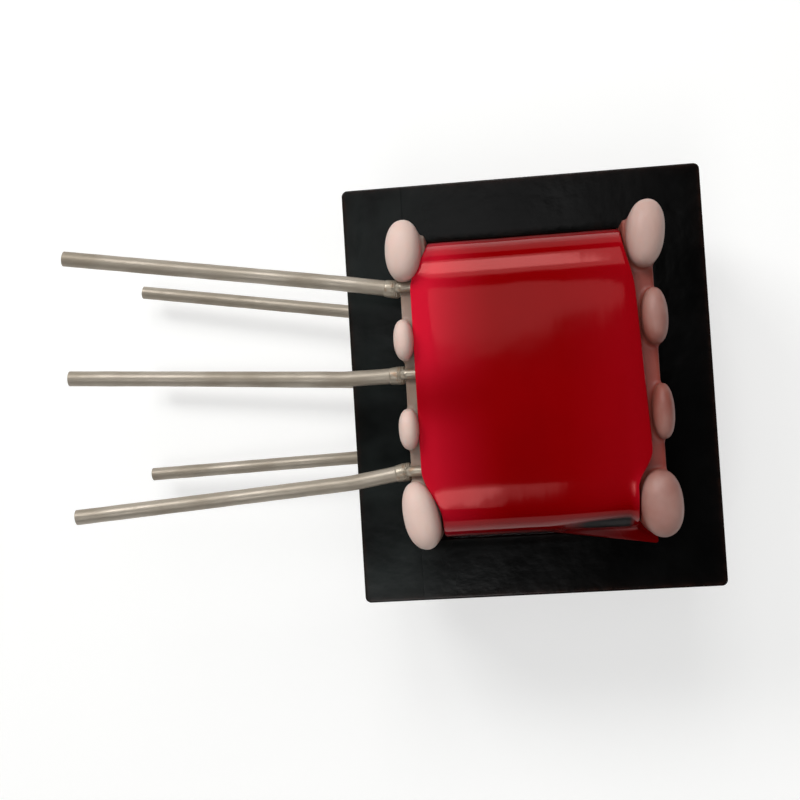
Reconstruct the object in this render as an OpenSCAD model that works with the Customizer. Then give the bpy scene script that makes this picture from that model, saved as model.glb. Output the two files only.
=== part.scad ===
// A small board-mounting audio transformer, in millimetres. It lies on its back.
// X runs along the centre limb of the core, Y across the limbs, Z up through the stack.
// X = 0 is the face of the core that seats on the board, and the leads point to -X.
// Y = 0 is the middle of the centre limb, and Z = 0 the middle of the stack.

/* [Core] */
// Width of the centre limb, along Y
limb_w = 4; // [3:0.25:6]
// Width of each window, along Y
window_w = 3; // [2.6:0.1:4]
// Length of each window, along X
window_l = 8; // [7:0.25:11]
// Width of each outer limb, along Y
outer_limb_w = 2; // [1.5:0.25:3]
// Width of the yoke at each end of the windows, along X
yoke_w = 2; // [1.5:0.25:3]
// Thickness of one lamination
sheet_t = 0.35; // [0.25:0.05:0.5]
// How many laminations are stacked
sheet_count = 14; // [10:1:17]
// Radius of a lamination's outer corners
sheet_corner_r = 0.2; // [0.1:0.05:0.5]
// Gap where an E lamination butts against its I lamination
butt_gap = 0.02; // [0.01:0.01:0.1]

/* [Bobbin] */
// Clearance round the centre limb; the bobbin is pushed against the limb's -Y side
limb_fit = 0.15; // [0.05:0.05:0.3]
// Wall of the bobbin's tube
tube_wall = 0.35; // [0.25:0.05:0.5]
// Outer corner radius of the bobbin's tube
tube_corner_r = 0.3; // [0.1:0.05:0.5]
// Thickness of each flange inside the windows
flange_t = 0.7; // [0.5:0.05:0.9]
// Gap between a flange and the yoke, inside the windows
flange_end_gap = 0.15; // [0.05:0.05:0.3]
// Gap between a flange's ends and the outer limb that it is nearest to
flange_side_gap = 0.05; // [0.02:0.01:0.2]
// Gap between the core's faces and the parts of the flanges that overhang them
face_gap = 0.05; // [0.02:0.01:0.15]
// How far a flange's ledge, outside the core, stands out past the flange's web
ledge_step = 0.18; // [0.1:0.02:0.3]
// Plastic between a lead and the valley floor above it
lead_cover = 0.2; // [0.1:0.05:0.4]
// Length of the two middle lobes of a flange, along Y
lobe_l = 1.5; // [1.2:0.05:1.9]
// Thickness of the middle lobes, along X
lobe_t = 0.5; // [0.45:0.05:0.65]
// How far the lobes bulge past the ledge, along X
lobe_bulge = 0.24; // [0.1:0.02:0.3]
// Length of the rounded ear at each end of a flange, along Y
ear_l = 1.8; // [1.3:0.05:1.9]
// Thickness of the ears, along X
ear_t = 1.15; // [0.9:0.05:1.2]
// How far the lobes' tips stand above the coil
lobe_rise = 0.45; // [0.3:0.05:0.8]
// How far the ears' tips stand above the lobes' tips
ear_rise = 0.1; // [0.05:0.05:0.3]

/* [Coil] */
// How far the coil's flat faces stand above the valley floors between the lobes
coil_rise = 0.5; // [0.4:0.05:0.8]
// Gap between the coil's side and the outer limb that it is nearest to
coil_side_gap = 0.07; // [0.02:0.01:0.3]
// How far the coil's outer layers lean to -Y, where the wires to the leads lie under them; at
// limb_fit they are in the middle of the windows
coil_lean = 0.15; // [0:0.05:0.3]
// Gap between the windings and each flange
coil_end_gap = 0.05; // [0.02:0.01:0.2]
// Thickness of the tape between the windings
inner_tape_t = 0.12; // [0.06:0.02:0.2]
// Thickness of the outer tape, all its turns together
outer_tape_t = 0.2; // [0.12:0.02:0.3]
// Thickness of one layer of tape, the step at the outer tape's free end
tape_film_t = 0.06; // [0.02:0.01:0.1]
// Angle round the coil at which the outer tape ends; 270 is the middle of the back
tape_end_angle = 284; // [240:1:300]
// How much nearer the far flange the outer tape's edge runs at -Y than at +Y
tape_skew = 0.3; // [0:0.05:0.4]
// How far along Y the outer tape's edges take to spread out past the ears
tape_slope_l = 0.5; // [0.3:0.05:1]
// Clearance between the outer tape's edges and the flanges' lobes and ears
tape_lobe_gap = 0.05; // [0.02:0.01:0.1]
// Diameter of the coil wires that run out to the leads
coil_wire_d = 0.1; // [0.06:0.01:0.12]

/* [Leads] */
// Diameter of each lead
lead_d = 0.5; // [0.3:0.05:0.6]
// Spacing of the leads in a row, along Y
lead_pitch = 2.85; // [2.7:0.05:3]
// Height of each row of leads' axes above the face of the core
lead_rise = 1.45; // [1.1:0.05:2.5]
// How deep a lead sits in its flange
lead_seat = 0.75; // [0.4:0.05:0.9]
// How far the leads' tips reach past the board seat
lead_reach = 9.2; // [3:0.1:20]
// How far each row of leads flares away from the core at its tips
lead_flare = 0.4; // [0:0.05:1]
// Gap between a flange and the coil wire wrapped round each lead
wrap_gap = 0.04; // [0.02:0.02:0.2]
// Turns of coil wire wrapped round each lead
wrap_turns = 3; // [2:1:5]
// How far the solder runs along the lead past the wire wrap
solder_l = 0.2; // [0.1:0.05:0.4]
// Gap between the solder and the knuckle of the lead's first bend
bend_gap = 0.04; // [0.02:0.02:0.2]

/* [Hidden] */
// Where each lead runs along Y, from +Y to -Y, measured from its place in the row's even
// pitch: where it sits in its flange, then where it passes the board seat, then at its tip.
FRONT_ROOT_BENDS = [0.3, 0.35, 0.08];
FRONT_KNEE_BENDS = [0.65, 0.35, -0.2];
FRONT_TIP_BENDS = [2.1, 0.95, -0.8];
BACK_ROOT_BENDS = [0.1, 0.2, 0.1];
BACK_KNEE_BENDS = [0.45, 0.6, 0.55];
BACK_TIP_BENDS = [2.0, 1.3, 0.35];

FRONT = 1;
BACK = -1;
LEAD_NUMBERS = [1, 2, 3];

// Squareness of the coil's section: 2 is an ellipse, and large values a rectangle
COIL_SQUARENESS = 7;
// Degrees between the points of the coil's section
COIL_STEP = 5;
// Share of the windings' depth that the primary takes
PRIMARY_SHARE = 0.5;
// How much fatter a wire's knuckle is than the wire
KNUCKLE = 1.06;
// How far a cut runs past the face that it leaves
CUT = 0.1;

// Core
core_l = window_l + 2 * yoke_w;
core_w = limb_w + 2 * window_w + 2 * outer_limb_w;
stack_t = sheet_t * sheet_count;
face_z = stack_t / 2;
core_mid_x = core_l / 2;

// Bobbin
bobbin_y = limb_fit;
tube_half_y = limb_w / 2 + limb_fit + tube_wall;
tube_half_z = face_z + limb_fit + tube_wall;
web_out_x = window_l / 2 - flange_end_gap;
flange_in_x = web_out_x - flange_t;
ledge_out_x = web_out_x + ledge_step;
lobe_out_x = ledge_out_x + lobe_bulge;
lobe_in_x = lobe_out_x - lobe_t;
window_edge_y = limb_w / 2 + window_w;
flange_half_y = window_edge_y - bobbin_y - flange_side_gap;
ledge_bottom_z = face_z + face_gap;
ear_y = 1.5 * lead_pitch;

// Heights, from the leads outwards
lead_z = face_z + lead_rise;
valley_z = lead_z + lead_d / 2 + lead_cover;
coil_half_z = valley_z + coil_rise;
lobe_tip_z = coil_half_z + lobe_rise;
ear_tip_z = lobe_tip_z + ear_rise;

// Coil. Its layers build up by full thicknesses at the sides, and by face_share of them
// over the core's faces.
coil_half_y = window_edge_y - abs(bobbin_y - coil_lean) - coil_side_gap;
coil_half_l = flange_in_x - coil_end_gap;
coil_build = coil_half_y - tube_half_y;
face_share = (coil_half_z - tube_half_z) / coil_build;
outer_tape_build = coil_build - outer_tape_t;
winding_build = outer_tape_build - inner_tape_t;
primary_build = winding_build * PRIMARY_SHARE;
inner_tape_build = primary_build + inner_tape_t;
tape_ear_y = ear_y - ear_l / 2 - tape_lobe_gap;
tape_slope_y = tape_ear_y - tape_slope_l;
tape_edge_x = lobe_in_x - tape_lobe_gap;
tape_reach_y = coil_half_y + coil_lean + CUT;

// Leads. A lead carries its coil wire against its flange, bends just past it, and bends again
// at the board seat.
lead_r = lead_d / 2;
lead_in_x = core_mid_x - ledge_out_x + lead_seat;
lead_out_x = core_mid_x - ledge_out_x;
lead_knuckle_r = lead_r * KNUCKLE;
coil_wire_r = coil_wire_d / 2;
wrap_l = wrap_turns * coil_wire_d;
wrap_x = lead_out_x - wrap_gap;
lead_root_x = wrap_x - wrap_l - solder_l - bend_gap - lead_knuckle_r;

// A node's name with a two-digit number
function numbered(name, i) = str(name, i < 10 ? "_0" : "_", i);

// ---- Helpers ----

// Extrudes a section, drawn in Y and Z, along X from x0 to x1
module along_x(x0, x1) {
    translate([x0, 0, 0]) rotate([90, 0, 90]) linear_extrude(x1 - x0) children();
}

// Extrudes a plan, drawn in X and Y, from z0 to z1
module along_z(z0, z1) {
    translate([0, 0, z0]) linear_extrude(z1 - z0) children();
}

// The angles that turn the Z axis to direction v: its tilt from Z, and its heading round Z
function tilt(v) = acos(v.z / norm(v));
function heading(v) = atan2(v.y, v.x);

// Puts what is drawn up the Z axis at point p, and turns it to run along direction v
module aimed(p, v) {
    translate(p) rotate([0, tilt(v), heading(v)]) children();
}

// A round rod from point p to point q
module rod(p, q, r) {
    aimed(p, q - p) cylinder(h = norm(q - p), r = r, $fn = 48);
}

// A round rod along a path of points, with a knuckle at each corner that is a little fatter
// than the rod, as wire is where it has been bent. Each stretch is drawn in the frame of the
// one before it, so that its axis meets the knuckle's centre exactly.
module bent_rod(points, r) {
    translate(points[0]) rod_run(points, 0, r);
}

module rod_run(points, i, r) {
    v = points[i + 1] - points[i];
    rotate([0, tilt(v), heading(v)]) {
        cylinder(h = norm(v), r = r, $fn = 48);
        if (i + 2 < len(points)) translate([0, 0, norm(v)]) {
            sphere(r * KNUCKLE, $fn = 48);
            rotate([0, -tilt(v), 0]) rotate([0, 0, -heading(v)]) rod_run(points, i + 1, r);
        }
    }
}

// A rectangle centred on the origin, with round corners
module rounded_rectangle(l, w, r) {
    square([l - 2 * r, w], center = true);
    square([l, w - 2 * r], center = true);
    for (sx = [-1, 1], sy = [-1, 1])
        translate([sx * (l / 2 - r), sy * (w / 2 - r)]) circle(r, $fn = 48);
}

// Places what belongs to the bobbin: X measured from the core's middle, Y from the bobbin's
module in_bobbin_place() {
    translate([core_mid_x, bobbin_y, 0]) children();
}

// Repeats a flange's shape at both ends of the bobbin
module at_both_ends() {
    children();
    mirror([1, 0, 0]) children();
}

// Repeats a shape on the front and the back of the core
module on_both_faces() {
    children();
    mirror([0, 0, 1]) children();
}

// ---- Core ----

// The outline of an E and an I lamination together
module sheet_outline() {
    translate([core_mid_x, 0]) rounded_rectangle(core_l, core_w, sheet_corner_r);
}

// An E lamination with its yoke at the board seat
module e_outline() {
    limb_end_x = yoke_w + window_l;
    difference() {
        sheet_outline();
        translate([limb_end_x, -core_w / 2 - CUT]) square([yoke_w + CUT, core_w + 2 * CUT]);
        for (side = [-1, 1])
            translate([yoke_w, side * (limb_w + window_w) / 2 - window_w / 2]) square([window_l + CUT, window_w]);
    }
}

// An I lamination at the end away from the board seat
module i_outline() {
    intersection() {
        sheet_outline();
        translate([yoke_w + window_l + butt_gap, -core_w / 2]) square([yoke_w, core_w]);
    }
}

// One layer of the stack; every second one is turned end for end
module sheet(i) {
    along_z(-face_z + (i - 1) * sheet_t, -face_z + i * sheet_t)
        if (i % 2 == 0) translate([core_l, 0]) mirror([1, 0]) children();
        else children();
}

module e_lamination(i) {
    color("#1e1f1e") sheet(i) e_outline();
}

module i_lamination(i) {
    color("#232422") sheet(i) i_outline();
}

// ---- Bobbin ----

// The web of one flange, inside the windows, and its ledges over the core's faces
module flange_web() {
    along_x(flange_in_x, web_out_x) square([2 * flange_half_y, 2 * valley_z], center = true);
    on_both_faces() along_x(flange_in_x, ledge_out_x)
        translate([-flange_half_y, ledge_bottom_z]) square([2 * flange_half_y, valley_z - ledge_bottom_z]);
}

// A tab whose top is rounded along both X and Y, and whose outer face bulges. Its length is
// lobe_l, and it runs down the ledge as a rib.
module lobe(y) {
    tip_r = lobe_t / 2;
    side_r = lobe_l / 2;
    bulge_r = (side_r * side_r + lobe_bulge * lobe_bulge) / (2 * lobe_bulge);
    translate([0, y, 0]) intersection() {
        union() {
            translate([lobe_in_x, -side_r, ledge_bottom_z])
                cube([lobe_t, lobe_l, lobe_tip_z - tip_r - ledge_bottom_z]);
            translate([lobe_in_x + tip_r, -side_r, lobe_tip_z - tip_r])
                rotate([-90, 0, 0]) cylinder(h = lobe_l, r = tip_r, $fn = 48);
        }
        union() {
            translate([flange_in_x, 0, lobe_tip_z - side_r])
                rotate([0, 90, 0]) cylinder(h = lobe_out_x, r = side_r, $fn = 96);
            translate([flange_in_x, -side_r, ledge_bottom_z])
                cube([lobe_out_x, lobe_l, lobe_tip_z - side_r - ledge_bottom_z]);
        }
        translate([lobe_out_x - bulge_r, 0, ledge_bottom_z])
            cylinder(h = lobe_tip_z, r = bulge_r, $fn = 128);
    }
}

// A round-topped ear, a pill in plan
module ear(y) {
    r = ear_t / 2;
    top_z = ear_tip_z - r;
    half_run = ear_l / 2 - r;
    translate([flange_in_x + r, y, 0]) {
        for (side = [-1, 1]) translate([0, side * half_run, 0]) {
            translate([0, 0, ledge_bottom_z]) cylinder(h = top_z - ledge_bottom_z, r = r, $fn = 64);
            translate([0, 0, top_z]) sphere(r, $fn = 64);
        }
        translate([-r, -half_run, ledge_bottom_z]) cube([ear_t, 2 * half_run, top_z - ledge_bottom_z]);
        translate([0, -half_run, top_z]) rotate([-90, 0, 0]) cylinder(h = 2 * half_run, r = r, $fn = 64);
    }
}

// One whole flange, at the end away from the board seat
module flange() {
    flange_web();
    on_both_faces() for (side = [-1, 1]) {
        lobe(side * lead_pitch / 2);
        ear(side * ear_y);
    }
}

// The tube's outside, as a section in Y and Z
module tube_section() {
    rounded_rectangle(2 * tube_half_y, 2 * tube_half_z, tube_corner_r);
}

module bobbin() {
    color("#d5bdb1") difference() {
        in_bobbin_place() {
            at_both_ends() flange();
            along_x(-web_out_x, web_out_x) tube_section();
        }
        in_bobbin_place() cube([2 * lobe_out_x + CUT, limb_w + 2 * limb_fit, stack_t + 2 * limb_fit], center = true);
        for (face = [FRONT, BACK], i = LEAD_NUMBERS)
            rod(lead_start(face, i), lead_start(face, i) - [lead_seat + CUT, 0, 0], lead_r);
    }
}

// ---- Coil ----

// A point of the coil's section at angle a, on a squared ellipse of the two half sizes:
// |y / half_y| ^ n + |z / half_z| ^ n = 1
function squared_ellipse(a, half_y, half_z) = [
    half_y * sign(cos(a)) * pow(abs(cos(a)), 2 / COIL_SQUARENESS),
    half_z * sign(sin(a)) * pow(abs(sin(a)), 2 / COIL_SQUARENESS)
];

// The same point where the layers have built up by b at the sides. The layers' middle leans
// to -Y as they build up.
function layer_point(a, b) =
    squared_ellipse(a, tube_half_y + b, tube_half_z + b * face_share) - [coil_lean * b / coil_build, 0];

// The outside of the layers that have built up by b
module layer_section(b) {
    polygon([for (a = [0 : COIL_STEP : 360 - COIL_STEP]) layer_point(a, b)]);
}

// The outside of the outer tape: a spiral that gains one layer in its last turn, up to the
// step at the tape's free end
module tape_spiral_section() {
    start_b = coil_build - tape_film_t;
    polygon([for (turn = [0 : COIL_STEP : 360])
        layer_point(tape_end_angle + turn, start_b + tape_film_t * turn / 360)]);
}

module primary_winding() {
    color("#b5682f") in_bobbin_place() along_x(-coil_half_l, coil_half_l) difference() {
        layer_section(primary_build);
        tube_section();
    }
}

module inner_tape() {
    color("#d9b23c") in_bobbin_place() along_x(-coil_half_l, coil_half_l) difference() {
        layer_section(inner_tape_build);
        layer_section(primary_build);
    }
}

module secondary_winding() {
    color("#b5682f") in_bobbin_place() along_x(-coil_half_l, coil_half_l) difference() {
        layer_section(outer_tape_build);
        layer_section(inner_tape_build);
    }
}

// The outer tape's plan: as wide as the coil where it passes the ears, and spreading over the
// flanges' ledges between them
module tape_plan() {
    polygon([
        [-coil_half_l, -tape_reach_y], [-coil_half_l, -tape_ear_y],
        [-tape_edge_x, -tape_slope_y], [-tape_edge_x, tape_slope_y],
        [-coil_half_l, tape_ear_y], [-coil_half_l, tape_reach_y],
        [coil_half_l, tape_reach_y], [coil_half_l, tape_ear_y],
        [tape_edge_x - tape_skew, tape_slope_y], [tape_edge_x, -tape_slope_y],
        [coil_half_l, -tape_ear_y], [coil_half_l, -tape_reach_y]
    ]);
}

module outer_tape() {
    color("#a8131f") in_bobbin_place() intersection() {
        along_x(-lobe_out_x, lobe_out_x) difference() {
            tape_spiral_section();
            layer_section(outer_tape_build);
        }
        along_z(-coil_half_z - CUT, coil_half_z + CUT) tape_plan();
    }
}

// ---- Leads ----

// The place of lead i in its row's even pitch, and where it runs from there
function lead_y(i) = bobbin_y + (2 - i) * lead_pitch;
function root_bend(face, i) = (face == FRONT ? FRONT_ROOT_BENDS : BACK_ROOT_BENDS)[i - 1];
function knee_bend(face, i) = (face == FRONT ? FRONT_KNEE_BENDS : BACK_KNEE_BENDS)[i - 1];
function tip_bend(face, i) = (face == FRONT ? FRONT_TIP_BENDS : BACK_TIP_BENDS)[i - 1];

// The points of a lead: its blind end, its first bend, the board seat and its tip
function lead_start(face, i) = [lead_in_x, lead_y(i) + root_bend(face, i), face * lead_z];
function lead_root(face, i) = [lead_root_x, lead_y(i) + root_bend(face, i), face * lead_z];
function lead_knee(face, i) = [0, lead_y(i) + knee_bend(face, i), face * lead_z];
function lead_tip(face, i) = [-lead_reach, lead_y(i) + tip_bend(face, i), face * (lead_z + lead_flare)];
function lead_path(face, i) =
    [lead_start(face, i), lead_root(face, i), lead_knee(face, i), lead_tip(face, i)];

module lead(face, i) {
    color("#b3ab9b") bent_rod(lead_path(face, i), lead_r);
}

// The turns of coil wire round a lead, tinned over, as a collar that runs along -X
module wire_wrap() {
    rotate([0, -90, 0]) difference() {
        union() {
            cylinder(h = wrap_l, r = lead_r + coil_wire_d, $fn = 48);
            cylinder(h = wrap_l + solder_l, r = lead_r + coil_wire_r, $fn = 48);
        }
        translate([0, 0, -CUT]) cylinder(h = wrap_l + solder_l + 2 * CUT, r = lead_r, $fn = 48);
    }
}

// The coil wire that comes out under the tape, runs over the valley floor and down to the
// lead, and is wrapped round it
module termination(face, i) {
    y = lead_root(face, i).y;
    wire_z = face * (valley_z + coil_wire_r);
    wire_start = [core_mid_x - coil_half_l, y, wire_z];
    wire_over = [lead_out_x - coil_wire_r, y, wire_z];
    wire_end = [wrap_x - wrap_l / 2, y, face * (lead_z + lead_r + coil_wire_r)];
    color("#b98a5e") {
        translate([wrap_x, y, face * lead_z]) wire_wrap();
        bent_rod([wire_start, wire_over, wire_end], coil_wire_r);
    }
}

// ---- Nodes ----

for (i = [1 : sheet_count]) {
    e_lamination(i);
    i_lamination(i);
}
bobbin();
primary_winding();
inner_tape();
secondary_winding();
outer_tape();
for (i = LEAD_NUMBERS) {
    lead(FRONT, i);
    lead(BACK, i);
    termination(FRONT, i);
    termination(BACK, i);
}
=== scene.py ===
"""Looks of a small board-mounting audio transformer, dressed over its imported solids.

It lies on its back: X runs along the centre limb, away from the board seat at X = 0, Y runs
across the limbs and Z up through the stack. Sizes in the classes are in millimetres.
"""

import logging
from dataclasses import dataclass, field
from enum import Enum
from functools import partial
from math import radians
from typing import Any, Callable, Optional, Sequence

import bmesh
import bpy
import numpy as np
from mathutils import Euler, Matrix, Vector


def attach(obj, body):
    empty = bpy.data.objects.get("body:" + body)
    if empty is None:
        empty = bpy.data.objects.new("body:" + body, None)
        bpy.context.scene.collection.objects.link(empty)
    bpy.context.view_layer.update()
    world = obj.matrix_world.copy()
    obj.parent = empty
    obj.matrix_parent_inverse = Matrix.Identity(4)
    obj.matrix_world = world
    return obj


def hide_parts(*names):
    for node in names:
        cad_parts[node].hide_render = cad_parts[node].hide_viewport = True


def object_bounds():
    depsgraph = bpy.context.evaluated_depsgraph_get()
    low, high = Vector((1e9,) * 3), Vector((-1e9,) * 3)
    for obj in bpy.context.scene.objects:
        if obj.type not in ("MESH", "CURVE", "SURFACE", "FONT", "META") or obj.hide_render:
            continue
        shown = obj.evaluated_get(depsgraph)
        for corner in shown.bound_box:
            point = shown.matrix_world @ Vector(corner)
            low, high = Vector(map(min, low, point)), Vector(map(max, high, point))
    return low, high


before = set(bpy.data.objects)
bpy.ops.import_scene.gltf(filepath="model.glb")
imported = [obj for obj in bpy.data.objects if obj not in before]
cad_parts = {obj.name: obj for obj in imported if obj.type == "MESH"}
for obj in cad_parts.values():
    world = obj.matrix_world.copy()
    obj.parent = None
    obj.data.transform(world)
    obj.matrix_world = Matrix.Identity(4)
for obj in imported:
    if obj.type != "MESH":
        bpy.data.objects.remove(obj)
cad_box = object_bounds()

MM = 0.001
NOISE_RANGE = {1: 0.35, 2: 0.65}  # where nearly all of a noise texture's values lie
log = logging.getLogger("transformer")


class Face(Enum):
    """The two faces of the core that the coil and the leads stand out from."""

    FRONT = 1
    BACK = -1


class End(Enum):
    """The two ends of the bobbin: towards the board, and away from it."""

    BOARD = -1
    FAR = 1


# ---- Colour and material nodes ----


def linear(hex_colour: str) -> tuple[float, float, float, float]:
    """Turns an sRGB hex colour into linear RGBA.

    Args:
        hex_colour: A colour such as "#a01020".

    Returns:
        The linear red, green, blue and an alpha of 1.
    """
    srgb = np.array([int(hex_colour[i:i + 2], 16) for i in (1, 3, 5)]) / 255
    rgb = np.where(srgb <= 0.04045, srgb / 12.92, ((srgb + 0.055) / 1.055) ** 2.4)
    return (*map(float, rgb), 1.0)


def per_mm(size: float) -> float:
    """The scale, for coordinates in metres, of a texture's feature of this size in millimetres."""
    return 1 / (size * MM)


def add_node(
    tree: bpy.types.NodeTree, kind: str, inputs: Optional[dict] = None, **settings: Any,
) -> bpy.types.Node:
    """Adds a shader node with its settings, values and links.

    Args:
        tree: The node tree that it goes into.
        kind: The node's type, without the ShaderNode before it.
        inputs: Input name or number to a value, or to the socket or the node that feeds it. A
            node feeds it from its first output in use.
        **settings: The node's own properties.

    Returns:
        The new node.
    """
    node = tree.nodes.new(f"ShaderNode{kind}")
    for name, value in settings.items():
        setattr(node, name, value)
    for key, value in (inputs or {}).items():
        if isinstance(value, bpy.types.Node):
            value = next(output for output in value.outputs if output.enabled)
        if isinstance(value, bpy.types.NodeSocket):
            tree.links.new(value, node.inputs[key])
        else:
            node.inputs[key].default_value = value
    return node


def blank_material(name: str) -> tuple[bpy.types.Material, Callable[..., bpy.types.Node]]:
    """Makes a material with an empty node tree.

    Args:
        name: The finish's plain name.

    Returns:
        The material, and add_node for its tree.
    """
    material = bpy.data.materials.new(name)
    material.use_nodes = True
    material.node_tree.nodes.clear()
    return material, partial(add_node, material.node_tree)


# ---- Finishes ----


@dataclass(frozen=True)
class BituminousLacquer:
    """Black bituminous lacquer, dipped over a stack of silicon steel and dried in air.

    It gives a deep black with a broken, satin gloss and soft sags, and it draws thin and brown
    over sharp edges. A painted sheen greys it, in blotches, towards the board's end, where the
    light falls.
    """

    film: str = "#050505"
    painted_sheen_grey: str = "#1e2322"
    thin: str = "#3a221a"
    roughness: tuple[float, float] = (0.17, 0.25)
    specular: float = 0.17
    sag: float = 2.6
    peel: float = 0.35
    painted_sheen_to: float = 5.0

    def material(self) -> bpy.types.Material:
        """Makes the material.

        Returns:
            The lacquer's material.
        """
        material, add = blank_material("black_bituminous_lacquer")
        place = add("TexCoord").outputs["Object"]
        along_x = add("SeparateXYZ", {0: place}).outputs["X"]
        sag = add("TexNoise", {0: place, "Scale": per_mm(self.sag), "Detail": 3.0})
        peel = add("TexNoise", {0: place, "Scale": per_mm(self.peel), "Detail": 2.0})
        # Painted sheen: the base colour greys, in blotches, towards the board's end, where the light
        # falls.
        near = add("MapRange", {0: along_x, 1: self.painted_sheen_to * MM, 2: 0.0, 3: 0.0, 4: 1.0})
        blotch = add("MapRange", {0: sag, 1: 0.4, 2: 0.62, 3: 0.3, 4: 1.0})
        painted_sheen = add("Math", {0: near, 1: blotch}, operation="MULTIPLY")
        body = add("Mix", {0: painted_sheen, 6: linear(self.film), 7: linear(self.painted_sheen_grey)}, data_type="RGBA")
        rim = add("Attribute", attribute_name="rim").outputs["Fac"]
        broken = add("MapRange", {0: peel, **NOISE_RANGE, 3: 0.3, 4: 1.0})
        worn = add("Math", {0: rim, 1: broken}, operation="MULTIPLY")
        colour = add("Mix", {0: worn, 6: body, 7: linear(self.thin)}, data_type="RGBA")
        low, high = self.roughness
        satin = add("MapRange", {0: sag, **NOISE_RANGE, 3: low, 4: high})
        sags = add("Bump", {"Height": sag, "Distance": 0.03 * MM})
        skin = add("Bump", {"Height": peel, "Distance": 0.006 * MM, "Normal": sags})
        shader = add("BsdfPrincipled", {
            "Base Color": colour,
            "Roughness": satin,
            "IOR": 1.5,
            "Specular IOR Level": self.specular,
            "Normal": skin,
        })
        add("OutputMaterial", {"Surface": shader})
        return material


@dataclass(frozen=True)
class MouldedNylon:
    """Natural nylon 6/6, injection moulded.

    It is a pale, slightly pink translucent white: light bleeds into the thin lobes, and the skin
    has a fine, soft sheen. Painted shade and red light bounced from the tape darken the far
    flange to red-brown, most on its valley floors, and painted shade browns the valley floors of
    the board's flange round the leads.
    """

    body: str = "#edd1c5"
    bounce_shaded: str = "#8e4f43"
    deep_bounce_shade: str = "#963f35"
    valley_shade: str = "#7d6857"
    roughness: float = 0.46
    light_bleed: float = 0.25
    cloud: float = 1.6
    grain: float = 0.18

    def material(self) -> bpy.types.Material:
        """Makes the material.

        Returns:
            The nylon's material.
        """
        material, add = blank_material("moulded_nylon")
        place = add("TexCoord").outputs["Object"]
        cloud = add("TexNoise", {0: place, "Scale": per_mm(self.cloud), "Detail": 3.0})
        grain = add("TexNoise", {0: place, "Scale": per_mm(self.grain), "Detail": 2.0})
        uneven = add("MapRange", {0: cloud, **NOISE_RANGE, 3: 0.85, 4: 1.1})
        # Painted shade and red light bounced from the tape, from the mark set on the flanges.
        bounce_and_shade = add("Attribute", attribute_name="bounce_and_shade").outputs["Fac"]
        bounce_and_shade = add("Math", {0: bounce_and_shade, 1: uneven}, operation="MULTIPLY")
        deep = add("Math", {0: bounce_and_shade, 1: 1.0}, operation="SUBTRACT")
        # Painted shade on the valley floors of the board's flange.
        valley_shade = add("Attribute", attribute_name="valley_shade").outputs["Fac"]
        valley_shade = add("Math", {0: valley_shade, 1: uneven}, operation="MULTIPLY")
        dyed = add("Mix", {0: bounce_and_shade, 6: linear(self.body), 7: linear(self.bounce_shaded)}, data_type="RGBA")
        dyed = add("Mix", {0: deep, 6: dyed, 7: linear(self.deep_bounce_shade)}, data_type="RGBA")
        colour = add("Mix", {0: valley_shade, 6: dyed, 7: linear(self.valley_shade)}, data_type="RGBA")
        swell = add("Bump", {"Height": cloud, "Distance": 0.02 * MM})
        skin = add("Bump", {"Height": grain, "Distance": 0.008 * MM, "Normal": swell})
        shader = add("BsdfPrincipled", {
            "Base Color": colour,
            "Roughness": self.roughness,
            "IOR": 1.53,
            "Specular IOR Level": 0.4,
            "Subsurface Weight": 0.35,
            "Subsurface Radius": (1.0, 0.55, 0.45),
            "Subsurface Scale": self.light_bleed * MM,
            "Normal": skin,
        })
        add("OutputMaterial", {"Surface": shader})
        return material


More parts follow.
